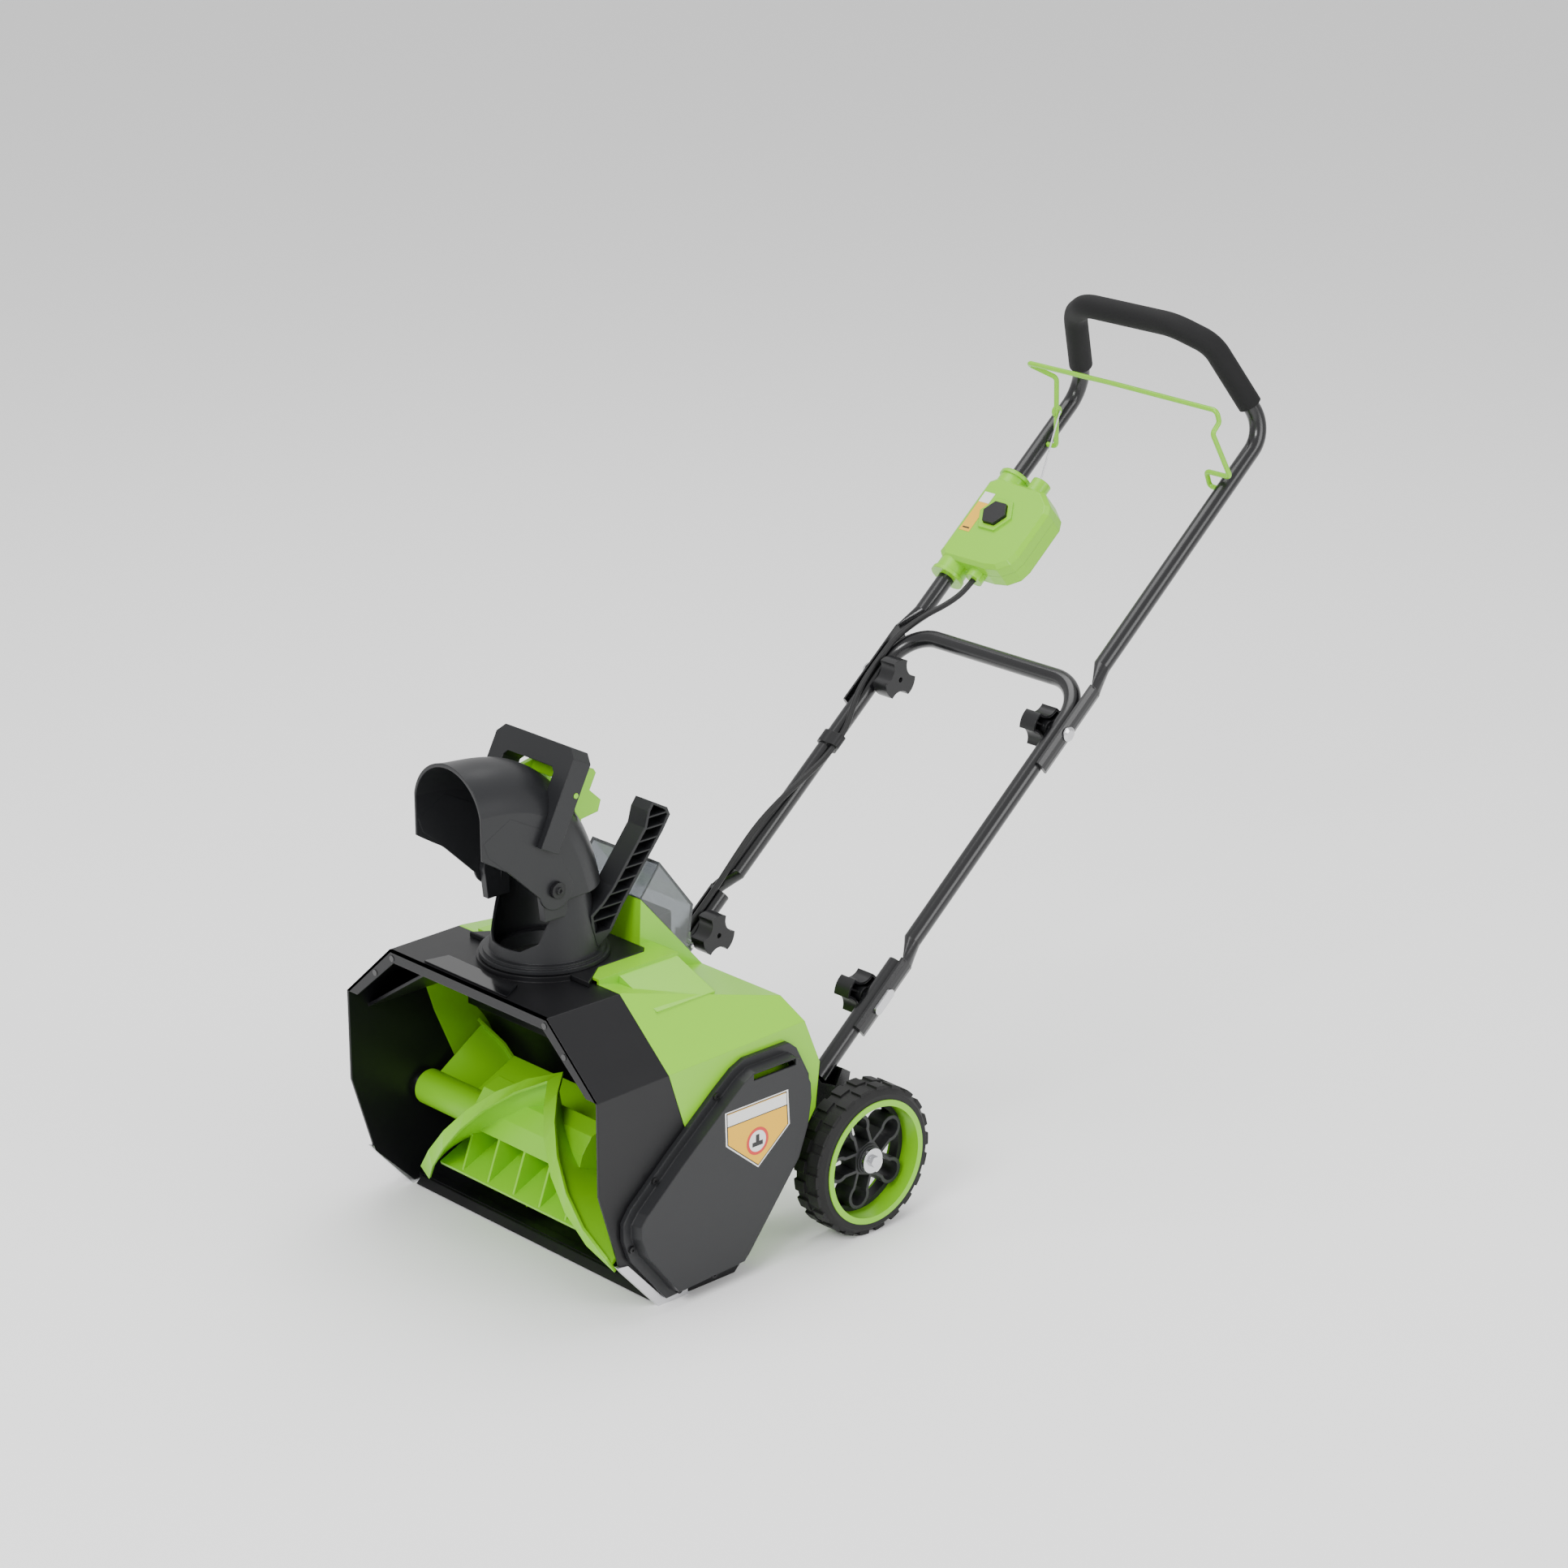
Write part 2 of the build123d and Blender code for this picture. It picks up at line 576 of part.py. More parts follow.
def side_plate(sign):
    """Flat cheek of the hood with the pivot disc."""
    plate = yz_prism(PLATE_OUTLINE, sign * (HOOD_HALF - 2.6), sign * (HOOD_HALF + 0.2))
    return plate + x_rod(22, sign * (HOOD_HALF - 2.6), sign * (HOOD_HALF + 0.2), PIVOT_Y, PIVOT_Z)


def make_deflector():
    hood = hood_block(0) - hood_block(2.4)
    hood = hood & box(-70, 70, -30, 200, 404, 600)
    for sign in (1, -1):
        hood += side_plate(sign)
        hood -= x_rod(4 + RUN, sign * 40, sign * 70, PIVOT_Y, PIVOT_Z)
    return hood


def make_pivots():
    """Deflector pivot bolts with their washers and caps."""
    pins = []
    for sign in (1, -1):
        pin = x_rod(4, sign * 43, sign * 61, PIVOT_Y, PIVOT_Z)
        pin += x_rod(9, sign * (HOOD_HALF + 0.5), sign * 59, PIVOT_Y, PIVOT_Z)
        pins.append(pin - x_rod(2, sign * 59.5, sign * 62, PIVOT_Y, PIVOT_Z))
    return Compound(pins)


GATE = Plane(origin=(0, 70, 478), x_dir=(1, 0, 0), z_dir=Vector(1, 0, 0).cross(Vector(0, 0.465, 0.885)))
GATE_TOP = 96.0


def make_gate():
    """Deflector handle: an upright loop straddling the hood."""
    half = 62
    outline = Polygon((-half, -12), (half, -12), (half, GATE_TOP - 10), (half - 10, GATE_TOP),
                      (10 - half, GATE_TOP), (-half, GATE_TOP - 10), align=None)
    window = Polygon((-40, -20), (40, -20), (40, 66), (35, 71), (-35, 71), (-40, 66), align=None)
    gate = extrude(GATE * (outline - window), 12.5, both=True)
    gate = gate - hood_block(-0.02) - side_plate(1) - side_plate(-1)
    solids = gate.solids().sort_by(SortBy.VOLUME)
    gate = solids[-1]
    y, z = TRIGGER_PIVOT
    return gate - x_rod(3 + RUN, -70, 70, y, z)


TRIGGER_PIVOT = (100.5, 519.4)


def make_trigger():
    """Squeeze trigger behind the loop: finger bar on top, catch below, stub pins in the legs."""
    y, z = TRIGGER_PIVOT
    profile = [
        (119, 512), (124, 533), (128, 537), (145, 532), (148, 527), (139, 510), (154, 496), (150, 484),
        (127, 481), (125, 468), (118, 470),
    ]
    trigger = yz_prism(profile, -38.5, 38.5)
    trigger -= yz_prism([(110, 524), (160, 500), (160, 492), (110, 510)], -28, 28)
    pocket = [(110, 460), (121, 506), (127, 530), (134, 529), (128, 508), (146, 493), (143, 480), (130, 478)]
    trigger -= yz_prism(pocket, -33, 33)
    for sign in (1, -1):
        trigger += x_rod(3, sign * 34, sign * 62.6, y, z)
        trigger += yz_prism([(y - 5, z - 5), (124, 500), (124, 530), (y - 5, z + 5)], sign * 33, sign * 38.5)
    trigger -= hood_block(-1.5)
    return trigger.solids().sort_by(SortBy.VOLUME)[-1]


# --- wheels -----------------------------------------------------------------
def make_tyre():
    """Hollow tread band with staggered blocks."""
    mid = (TYRE_IN + TYRE_OUT) / 2
    profile = [
        (TYRE_IN, 66), (TYRE_IN, 76), (TYRE_IN + 6, TYRE_R - 2.5), (TYRE_OUT - 6, TYRE_R - 2.5),
        (TYRE_OUT, 76), (TYRE_OUT, 66),
    ]
    band = Plane.XY * Polygon(*profile, align=None)
    tyre = revolve(band, Axis.X)
    count = 22
    for k in range(count):
        for sign, phase in ((-1, 0.0), (1, 0.5)):
            angle = (k + phase) * 360.0 / count
            lug = Pos(mid + sign * 9.5, 0, TYRE_R - 2) * Box(15, 14, 4)
            tyre += Rot(angle, 0, 0) * lug
    tyre = tyre & x_rod(TYRE_R, TYRE_IN - 1, TYRE_OUT + 1, 0, 0)
    return Pos(0, AXLE_Y, AXLE_Z) * tyre


RIM_R = 66.0
SPOKE_R = 63.0


def make_rim():
    """Green outer ring and barrel that the tyre sits on."""
    rim = x_ring(RIM_R, SPOKE_R, TYRE_IN, TYRE_OUT, 0, 0) + x_ring(70, SPOKE_R, TYRE_OUT, TYRE_OUT + 1.2, 0, 0)
    return Pos(0, AXLE_Y, AXLE_Z) * rim


def make_spokes():
    """Dark wheel centre: five petal loops round the hub."""
    hub = x_rod(15, TYRE_IN, TYRE_OUT - 8, 0, 0) + x_rod(17, TYRE_OUT - 26, TYRE_OUT - 10, 0, 0)
    disc = x_ring(SPOKE_R, 57, TYRE_IN + 8, TYRE_IN + 20, 0, 0)
    for k in range(5):
        angle = 18 + 72 * k
        loop = x_rod(15, TYRE_IN + 8, TYRE_OUT - 12, 0, 42) + box(TYRE_IN + 8, TYRE_OUT - 12, -12, 12, 14, 42)
        loop -= x_rod(11, TYRE_IN, TYRE_OUT, 0, 42) + box(TYRE_IN, TYRE_OUT, -8.5, 8.5, 18, 42)
        loop += box(TYRE_IN + 8, TYRE_IN + 20, -6, 6, 53, 59)
        disc += Rot(angle, 0, 0) * loop
    wheel = hub + disc - x_rod(AXLE_R + RUN, TYRE_IN - 5, TYRE_OUT + 5, 0, 0)
    wheel = wheel & x_rod(SPOKE_R, TYRE_IN - 5, TYRE_OUT + 5, 0, 0)
    return Pos(0, AXLE_Y, AXLE_Z) * wheel


def make_hub_bolt():
    cap = x_rod(14, TYRE_OUT - 8, TYRE_OUT - 4, AXLE_Y, AXLE_Z)
    bolt = Plane.YZ.offset(TYRE_OUT - 4) * Pos(AXLE_Y, AXLE_Z) * RegularPolygon(6.5, 6)
    return cap + extrude(bolt, 4.5)


# --- axle, brackets, lower tubes ----------------------------------------------
def make_axle():
    return x_rod(AXLE_R, -TYRE_OUT + 8.3, TYRE_OUT - 8.3, AXLE_Y, AXLE_Z)


def make_brackets():
    """Folded steel channels from the rear wall to the axle and handle ends."""
    parts = []
    outline = [
        (311.5, 204), (306, 156), (262, 92), (276, 60), (330, 66), (350, 70), (362, 70), (376, 80),
        (396, 112), (404, 150), (392, 158), (382, 140), (360, 150), (330, 196),
    ]
    for sign in (1, -1):
        x0, x1 = sign * (TUBE_X - 14), sign * (TUBE_X + 14)
        channel = yz_prism(outline, x0, x1)
        inner = [(y - 2, z + 4) for y, z in outline]
        channel -= yz_prism(inner, sign * (TUBE_X - 10.8), sign * (TUBE_X + 10.8))
        channel -= x_rod(AXLE_R + RUN, x0 - 30, x1 + 30, AXLE_Y, AXLE_Z)
        channel = channel - body_block(SIDE_PROFILE, 0)
        parts.append(channel.solids().sort_by(SortBy.VOLUME)[-1])
    return Compound(parts)


def tube_run(s0, s1, x):
    """Straight length of handle tube."""
    outer = rod(at_handle(x, s0, 0), at_handle(x, s1, 0), TUBE_R)
    return outer - rod(at_handle(x, s0 - 1, 0), at_handle(x, s1 + 1, 0), TUBE_R - TUBE_WALL)


def make_lower_tubes():
    tubes = []
    for sign in (1, -1):
        tube = tube_run(-MID_LENGTH - 108, -MID_LENGTH + 48, sign * TUBE_X)
        tube -= x_rod(BOLT_R + RUN, sign * 120, sign * 165, LOWER_Y, LOWER_Z)
        tubes.append(tube)
    return Compound(tubes)


def make_bolts(s, plate_long):
    """Carriage bolts through both tubes, head outside, thread inside for the knob."""
    y, z = at_handle(0, s, 0)[1:]
    bolts = []
    for sign in (1, -1):
        shank = x_rod(BOLT_R, sign * 112, sign * 158.2, y, z)
        if plate_long:
            head = Plane(origin=(sign * 158, y, z), x_dir=TAN, z_dir=(sign, 0, 0)) * SlotOverall(33, 11)
            head = extrude(head, 3.2)
        else:
            head = x_rod(8.5, sign * 158, sign * 160, y, z)
            head += loft([Plane.YZ.offset(sign * 160) * Pos(y, z) * Circle(8.4),
                          Plane.YZ.offset(sign * 162) * Pos(y, z) * Circle(5)])
        bolts.append(shank + head)
    return Compound(bolts)


def flat_end(s0, s1, x):
    """Pressed tube end: a D section lying against the outside of the next tube."""
    sign = 1 if x > 0 else -1
    inner = abs(x) + TUBE_R + 0.35
    face = [(inner, -10.5), (inner + 3, -10), (inner + 5.2, -5), (inner + 5.6, 0), (inner + 5.2, 5),
            (inner + 3, 10), (inner, 10.5)]
    plane = Plane(origin=at_handle(0, s0, 0), x_dir=(1, 0, 0), z_dir=TAN)
    return extrude(plane * Polygon(*[(sign * a, b) for a, b in face], align=None), s1 - s0, dir=TAN)


def crimp(s0, s1, x):
    """Shoulder where the pressed end swells back into the round tube."""
    sign = 1 if x > 0 else -1
    inner = abs(x) + TUBE_R + 0.35
    low = Plane(origin=at_handle(0, s0, 0), x_dir=(1, 0, 0), z_dir=TAN)
    high = Plane(origin=at_handle(0, s1, 0), x_dir=(1, 0, 0), z_dir=TAN)
    pressed = low * Pos(sign * (inner + 3.0), 0) * Ellipse(2.5, 9.7)
    return loft([pressed, high * Pos(x, 0) * Ellipse(TUBE_R, TUBE_R)])


# --- folding handle -----------------------------------------------------------
MID_BAR_S = 63.0


def make_mid_handle():
    base = -MID_LENGTH
    path = [
        at_handle(-TUBE_X, base + 78, 0), at_handle(-TUBE_X, MID_BAR_S, 0), at_handle(TUBE_X, MID_BAR_S, 0),
        at_handle(TUBE_X, base + 78, 0),
    ]
    handle = swept(path, TUBE_R, [48, 48]) - swept(
        [at_handle(-TUBE_X, base + 81, 0), path[1], path[2], at_handle(TUBE_X, base + 81, 0)],
        TUBE_R - TUBE_WALL, [48, 48])
    for sign in (1, -1):
        x = sign * TUBE_X
        handle += crimp(base + 50, base + 78, x) + flat_end(base - 42, base + 52, x)
        handle -= x_rod(BOLT_R + RUN, sign * 148, sign * 165, LOWER_Y, LOWER_Z)
        handle -= x_rod(BOLT_R + RUN, sign * 120, sign * 165, UPPER_Y, UPPER_Z)
    return handle


GRIP_CORNER = at_handle(TUBE_X, 443.2, 0)     # where the tubes turn up and forwards
GRIP_SHOULDER = (106.0, 1021.0, 847.0)
GRIP_TOP = (68.0, 997.0, 867.0)
GRIP_RADII = [38, 45, 45, 45, 45, 38]


def pair(points):
    """The points on the right side, then mirrored back down the left."""
    return [(-x, y, z) for x, y, z in points] + points[::-1]


def upper_path(s):
    return pair([at_handle(TUBE_X, s, 0), GRIP_CORNER, GRIP_SHOULDER, GRIP_TOP])


def make_upper_handle():
    tube = swept(upper_path(92), TUBE_R, GRIP_RADII) - swept(upper_path(95), TUBE_R - TUBE_WALL, GRIP_RADII)
    for sign in (1, -1):
        x = sign * TUBE_X
        tube += crimp(60, 92, x) + flat_end(-50, 62, x)
        tube -= x_rod(BOLT_R + RUN, sign * 148, sign * 165, UPPER_Y, UPPER_Z)
        tube -= x_rod(WIRE_R + RUN, sign * 125, sign * 140, BAIL_Y, BAIL_Z)
    return tube


FOAM_R = 14.0


def make_foam():
    """Foam sleeve over the top of the grip loop."""
    share = 0.30
    start = tuple(a + (b - a) * share for a, b in zip(GRIP_CORNER, GRIP_SHOULDER))
    path = pair([start, GRIP_SHOULDER, GRIP_TOP])
    radii = GRIP_RADII[1:-1]
    return swept(path, FOAM_R, radii) - swept(path, TUBE_R + 0.02, radii)


# --- switch box, bail, rod, button ---------------------------------------------
BOX_OUTLINE = [
    (-160, 168), (-152, 161), (-84, 161), (-66, 164), (-52, 175), (-48, 188), (-48, 252), (-54, 264),
    (-74, 279), (-150, 283), (-160, 275),
]
BOX_SPLIT = 3.0
BUTTON_AT = (-114.0, 231.0)


def box_slab(u0, u1, shrink):
    cx, cs = -104.0, 222.0
    pts = [(cx + (x - cx) * shrink, cs + (s - cs) * shrink) for x, s in BOX_OUTLINE]
    return extrude(HANDLE.offset(u0) * Polygon(*pts, align=None), u1 - u0, dir=UPN)


def collars(half):
    """Round collars that grip the tube, and the spouts for rod and cable."""
    parts = rod(at_handle(-TUBE_X, 146, 0), at_handle(-TUBE_X, 298, 0), 19)
    parts += rod(at_handle(-TUBE_X, 144, 0), at_handle(-TUBE_X, 149, 0), 21)
    parts += rod(at_handle(-TUBE_X, 292, 0), at_handle(-TUBE_X, 296, 0), 21)
    parts += rod(at_handle(-101, 262, 2), at_handle(-101, 298, 2), 12)
    parts += rod(at_handle(-103, 151, 0), at_handle(-103, 176, 0), 11)
    slab = HANDLE.offset(BOX_SPLIT) * Rectangle(400, 900)
    return parts & extrude(slab, 60 if half > 0 else -60)


def box_cuts(shape):
    shape -= rod(at_handle(-TUBE_X, 130, 0), at_handle(-TUBE_X, 310, 0), TUBE_R + 0.02)
    shape -= rod(at_handle(-101, 240, 2), at_handle(-101, 300, 2), 6)
    shape -= rod(at_handle(-103, 148, 0), at_handle(-103, 190, 0), CABLE_R + 0.1)
    return shape


def make_switch_front():
    crown = [(-104 + (x + 104) * 0.9, 222 + (y - 222) * 0.93) for x, y in BOX_OUTLINE]
    raised = loft([HANDLE.offset(16) * Polygon(*BOX_OUTLINE, align=None),
                   HANDLE.offset(20.5) * Polygon(*crown, align=None)], ruled=True)
    slab = box_slab(BOX_SPLIT, 16, 1.0) + raised
    bx, bs = BUTTON_AT
    pad = extrude(HANDLE.offset(20) * Pos(bx, bs) * RegularPolygon(25, 6), 3.0)
    shape = slab + collars(1) + pad
    shape -= box_slab(BOX_SPLIT - 1, 13, 0.9) & extrude(HANDLE * Pos(-88, 221) * Rectangle(74, 96), 60)
    shape -= extrude(HANDLE.offset(8) * Pos(bx, bs) * RegularPolygon(17.6, 6), 30)
    return box_cuts(shape)


def make_switch_back():
    shape = box_slab(-14, BOX_SPLIT - 0.05, 1.0) + collars(-1)
    room = extrude(HANDLE.offset(-20) * Pos(-88, 221) * Rectangle(74, 96), 60)
    shape -= box_slab(-11, BOX_SPLIT + 1, 0.9) & room
    return box_cuts(shape)


def make_button():
    bx, bs = BUTTON_AT
    return extrude(HANDLE.offset(13.5) * Pos(bx, bs) * RegularPolygon(17.0, 6), 13.5)


ROD_TOP = (-114.6, 1008.2, 729.0)
ROD_FOOT = (-102.0, 958.0, 640.0)


def make_bail():
    """Bent wire lever: left end straight into its tube, right end looped over the other."""
    left = [
        (-134, BAIL_Y, BAIL_Z), (-119, BAIL_Y, BAIL_Z), (-119, 1006, 770), (-150, 981, 788), (0, 977, 789),
        (150, 981, 785), (151, 985, 771), (151, 974, 760), (157, 1000.7, 705.1), (121, 1000.7, 705.1),
        (121, BAIL_Y, BAIL_Z), (134, BAIL_Y, BAIL_Z),
    ]
    radii = [5, 8, 6, 200, 7, 5, 6, 5, 5, 5]
    bail = swept(left, WIRE_R, radii)
    eye = Pos(-119, 1007.6, 729) * Rot(0, 90, 0) * Cylinder(7, 3.4)
    return bail + eye - x_rod(1.5 + RUN, -130, -110, ROD_TOP[1], ROD_TOP[2])


def make_link():
    """Pull rod from the bail's eye down into the switch box."""
    hook = x_rod(1.5, -123, ROD_TOP[0] + 1, ROD_TOP[1], ROD_TOP[2])
    return hook + rod(ROD_TOP, ROD_FOOT, 1.0)


# --- knobs and cable --------------------------------------------------------
def make_knob(s, sign):
    """Three-lobed hand nut, cupped on the side towards the tube."""
    y, z = at_handle(0, s, 0)[1:]
    outline = Circle(24)
    for k in range(3):
        a = radians(90 + 120 * k)
        outline -= Pos(30 * cos(a), 30 * sin(a)) * Circle(16)
    plane = Plane(origin=(sign * 106, y, z), x_dir=(0, 1, 0), z_dir=(sign, 0, 0))
    knob = extrude(plane * outline, 22)
    cup = offset(outline, -2.6)
    knob -= extrude(plane.offset(4) * cup, 20)
    knob += extrude(plane * Circle(8.5), 25.5)
    for k in range(3):
        a = 30 + 120 * k
        knob += extrude(plane.offset(3) * Rot(0, 0, a) * Pos(13, 0) * Rectangle(18, 1.8), 18)
    return knob - x_rod(BOLT_R + RUN, sign * 100, sign * 140, y, z)


CLIP_S = -102.0


def make_clip():
    ring = rod(at_handle(-TUBE_X, CLIP_S - 8, 0), at_handle(-TUBE_X, CLIP_S + 8, 0), TUBE_R + 3)
    ring += rod(at_handle(-TUBE_X + 16, CLIP_S - 8, 6), at_handle(-TUBE_X + 16, CLIP_S + 8, 6), CABLE_R + 2.6)
    ring += extrude(Plane(origin=at_handle(0, CLIP_S - 8, 0), x_dir=(1, 0, 0), z_dir=TAN)
                    * Polygon((-142, -12), (-126, -12), (-126, 0), (-142, 0), align=None), 16, dir=TAN)
    ring -= rod(at_handle(-TUBE_X, CLIP_S - 12, 0), at_handle(-TUBE_X, CLIP_S + 12, 0), TUBE_R + 0.02)
    eye = rod(at_handle(-TUBE_X + 16, CLIP_S - 12, 6), at_handle(-TUBE_X + 16, CLIP_S + 12, 6), CABLE_R + 0.1)
    return ring - eye


CABLE_UPPER = [
    (-103, 176, 0), (-103, 140, 0), (-108, 112, 5), (-124, 78, 14), (-138, 44, 15), (-140, 20, 14.6),
    (-140, 0, 14.6),
]
CABLE_MID = [
    (-140, 0, 14.6), (-140, -26, 14.6), (-132, -56, 13), (-126, -84, 6), (-126, -122, 6), (-128, -156, 12),
    (-134, -196, 18), (-140, -240, 20), (-141, -290, 17), (-140, -330, 14.6), (-140, -MID_LENGTH, 14.6),
]
CABLE_ROUTE_LOWER = [
    at_handle(-140, -MID_LENGTH, 14.6), at_handle(-140, -MID_LENGTH - 24, 14.6), (-134, 398, 203),
    (-114, 356, 201),
    (-96, 338, 208), (CABLE_PORT[0], 323, CABLE_PORT[2]), (CABLE_PORT[0], 292, CABLE_PORT[2]),
]


def cable(points):
    return [at_handle(*p) for p in points]


def cable_radii(points):
    """Each arc is 0.45 of its shorter run over the tangent of half the turn."""
    radii = []
    for a, b, c in zip(points, points[1:], points[2:]):
        before = Vector(*b) - Vector(*a)
        after = Vector(*c) - Vector(*b)
        turn = before.get_angle(after)
        half = radians(turn / 2)
        radii.append(0.45 * min(before.length, after.length) / abs(sin(half) / cos(half)))
    return radii


def make_cable(route):
    return swept(route, CABLE_R, cable_radii(route))


# --- export -----------------------------------------------------------------
def make_grommet():
    """Rubber bush that lines the cable port, flanged on both faces of the wall."""
    x, y, z = CABLE_PORT
    bush = rod((x, y - 9, z), (x, y + 9, z), 7.9)
    return bush - rod((x, y - 12, z), (x, y + 14, z), CABLE_R + 0.1)


def assembly():
    wheel = {"tyre": make_tyre(), "rim": make_rim(), "spokes": make_spokes(), "hub_bolt": make_hub_bolt()}
    nodes = {
        "auger_housing": make_housing(), "rear_shroud": make_shroud(), "chute_deck": make_deck(),
        "side_cover_left": make_side_cover(), "side_cover_right": make_right_cover(),
        "cover_screws": make_screws(), "skid_shoes": make_skids(), "scraper_bar": make_scraper(),
        "auger_rotor": make_auger(), "auger_shaft": make_auger_shaft(), "auger_bearings": make_bearings(),
        "driven_pulley": pulley(DRIVEN_R, AUGER_SHAFT_R, AUGER_Y, AUGER_Z),
        "drive_pulley": pulley(DRIVE_R, MOTOR_SHAFT_R, MOTOR_Y, MOTOR_Z), "drive_belt": make_belt(),
        "motor_stator": make_stator(), "motor_rotor": make_rotor(), "controller": make_controller(),
        "battery_bay": make_battery_bay(), "bay_terminals": make_terminals(), "battery_pack": make_battery(),
        "battery_latch": make_battery_latch(), "battery_lid": make_lid(), "lid_pin": make_lid_pin(),
        "chute_base": make_chute(), "chute_lever": make_lever(),
        "deflector_hood": make_deflector(), "deflector_pivots": make_pivots(), "deflector_loop": make_gate(),
        "deflector_trigger": make_trigger(), "wheel_axle": make_axle(), "handle_brackets": make_brackets(),
        "lower_tubes": make_lower_tubes(), "lower_bolts": make_bolts(-MID_LENGTH, True),
        "mid_handle": make_mid_handle(), "upper_bolts": make_bolts(0, False),
        "upper_handle": make_upper_handle(), "foam_grip": make_foam(), "switch_box_front": make_switch_front(),
        "switch_box_back": make_switch_back(), "safety_button": make_button(), "bail_lever": make_bail(),
        "link_rod": make_link(), "cable_clip": make_clip(), "cable_upper": make_cable(cable(CABLE_UPPER)),
        "cable_mid": make_cable(cable(CABLE_MID)), "cable_lower": make_cable(CABLE_ROUTE_LOWER),
        "cable_grommet": make_grommet(),
    }
    for name, shape in wheel.items():
        nodes[name + "_left"] = shape
        nodes[name + "_right"] = mirror_x(shape)
    for name, s in (("lower", -MID_LENGTH), ("upper", 0)):
        nodes[name + "_knob_left"] = make_knob(s, 1)
        nodes[name + "_knob_right"] = make_knob(s, -1)
    return nodes


if __name__ == "__main__":
    os.makedirs("parts", exist_ok=True)
    for name, shape in assembly().items():
        export_step(Pos(0, -ORIGIN_Y, 0) * shape, "parts/" + name + ".step")
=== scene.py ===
import json
import math
import bpy
from mathutils import Matrix, Vector


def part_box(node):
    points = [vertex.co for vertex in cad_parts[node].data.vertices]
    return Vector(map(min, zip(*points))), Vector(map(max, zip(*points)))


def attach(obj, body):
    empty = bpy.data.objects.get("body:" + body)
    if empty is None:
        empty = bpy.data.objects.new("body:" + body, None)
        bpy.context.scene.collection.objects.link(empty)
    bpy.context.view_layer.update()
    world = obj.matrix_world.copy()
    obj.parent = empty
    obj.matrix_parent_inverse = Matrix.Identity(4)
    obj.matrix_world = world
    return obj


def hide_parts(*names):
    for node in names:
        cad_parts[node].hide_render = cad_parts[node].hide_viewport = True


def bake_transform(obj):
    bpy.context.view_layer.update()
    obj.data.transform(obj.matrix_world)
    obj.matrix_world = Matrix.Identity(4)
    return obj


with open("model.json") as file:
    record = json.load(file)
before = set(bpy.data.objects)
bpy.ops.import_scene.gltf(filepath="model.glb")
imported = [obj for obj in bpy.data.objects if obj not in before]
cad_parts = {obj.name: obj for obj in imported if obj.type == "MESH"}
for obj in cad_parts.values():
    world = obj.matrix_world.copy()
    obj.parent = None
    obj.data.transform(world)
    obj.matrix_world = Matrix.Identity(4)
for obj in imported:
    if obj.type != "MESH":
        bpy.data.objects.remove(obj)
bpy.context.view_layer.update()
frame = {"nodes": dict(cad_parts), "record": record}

# --- materials --------------------------------------------------------------


def plastic(name, colour, rough, grain=0.0, grain_size=900.0, metal=0.0, coat=0.0, edge=0.0009,
            shine=0.5):
    """Moulded or painted surface with rounded edges, fine grain and slightly uneven gloss."""
    m = bpy.data.materials.new(name)
    m.use_nodes = True
    tree = m.node_tree
    shader = tree.nodes["Principled BSDF"]
    shader.inputs["Base Color"].default_value = (*colour, 1.0)
    shader.inputs["Metallic"].default_value = metal
    shader.inputs["Specular IOR Level"].default_value = shine
    shader.inputs["Coat Weight"].default_value = coat
    shader.inputs["Coat Roughness"].default_value = 0.15
    coords = tree.nodes.new("ShaderNodeTexCoord")
    round_edges = tree.nodes.new("ShaderNodeBevel")
    round_edges.samples = 4
    round_edges.inputs["Radius"].default_value = edge
    normal = round_edges.outputs["Normal"]
    if grain > 0:
        noise = tree.nodes.new("ShaderNodeTexNoise")
        noise.inputs["Scale"].default_value = grain_size
        noise.inputs["Detail"].default_value = 3.0
        bump = tree.nodes.new("ShaderNodeBump")
        bump.inputs["Strength"].default_value = grain
        bump.inputs["Distance"].default_value = 0.0004
        tree.links.new(coords.outputs["Object"], noise.inputs["Vector"])
        tree.links.new(noise.outputs["Fac"], bump.inputs["Height"])
        tree.links.new(normal, bump.inputs["Normal"])
        normal = bump.outputs["Normal"]
    tree.links.new(normal, shader.inputs["Normal"])
    patch = tree.nodes.new("ShaderNodeTexNoise")
    patch.inputs["Scale"].default_value = 14.0
    patch.inputs["Detail"].default_value = 5.0
    spread = tree.nodes.new("ShaderNodeMapRange")
    spread.inputs["To Min"].default_value = max(rough - 0.05, 0.02)
    spread.inputs["To Max"].default_value = rough + 0.07
    tree.links.new(coords.outputs["Object"], patch.inputs["Vector"])
    tree.links.new(patch.outputs["Fac"], spread.inputs["Value"])
    tree.links.new(spread.outputs["Result"], shader.inputs["Roughness"])
    return m


def clear(name, colour, rough):
    """Tinted see-through plastic."""
    m = bpy.data.materials.new(name)
    m.use_nodes = True
    tree = m.node_tree
    shader = tree.nodes["Principled BSDF"]
    shader.inputs["Base Color"].default_value = (*colour, 1.0)
    shader.inputs["Roughness"].default_value = rough
    shader.inputs["Transmission Weight"].default_value = 0.92
    shader.inputs["IOR"].default_value = 1.45
    return m


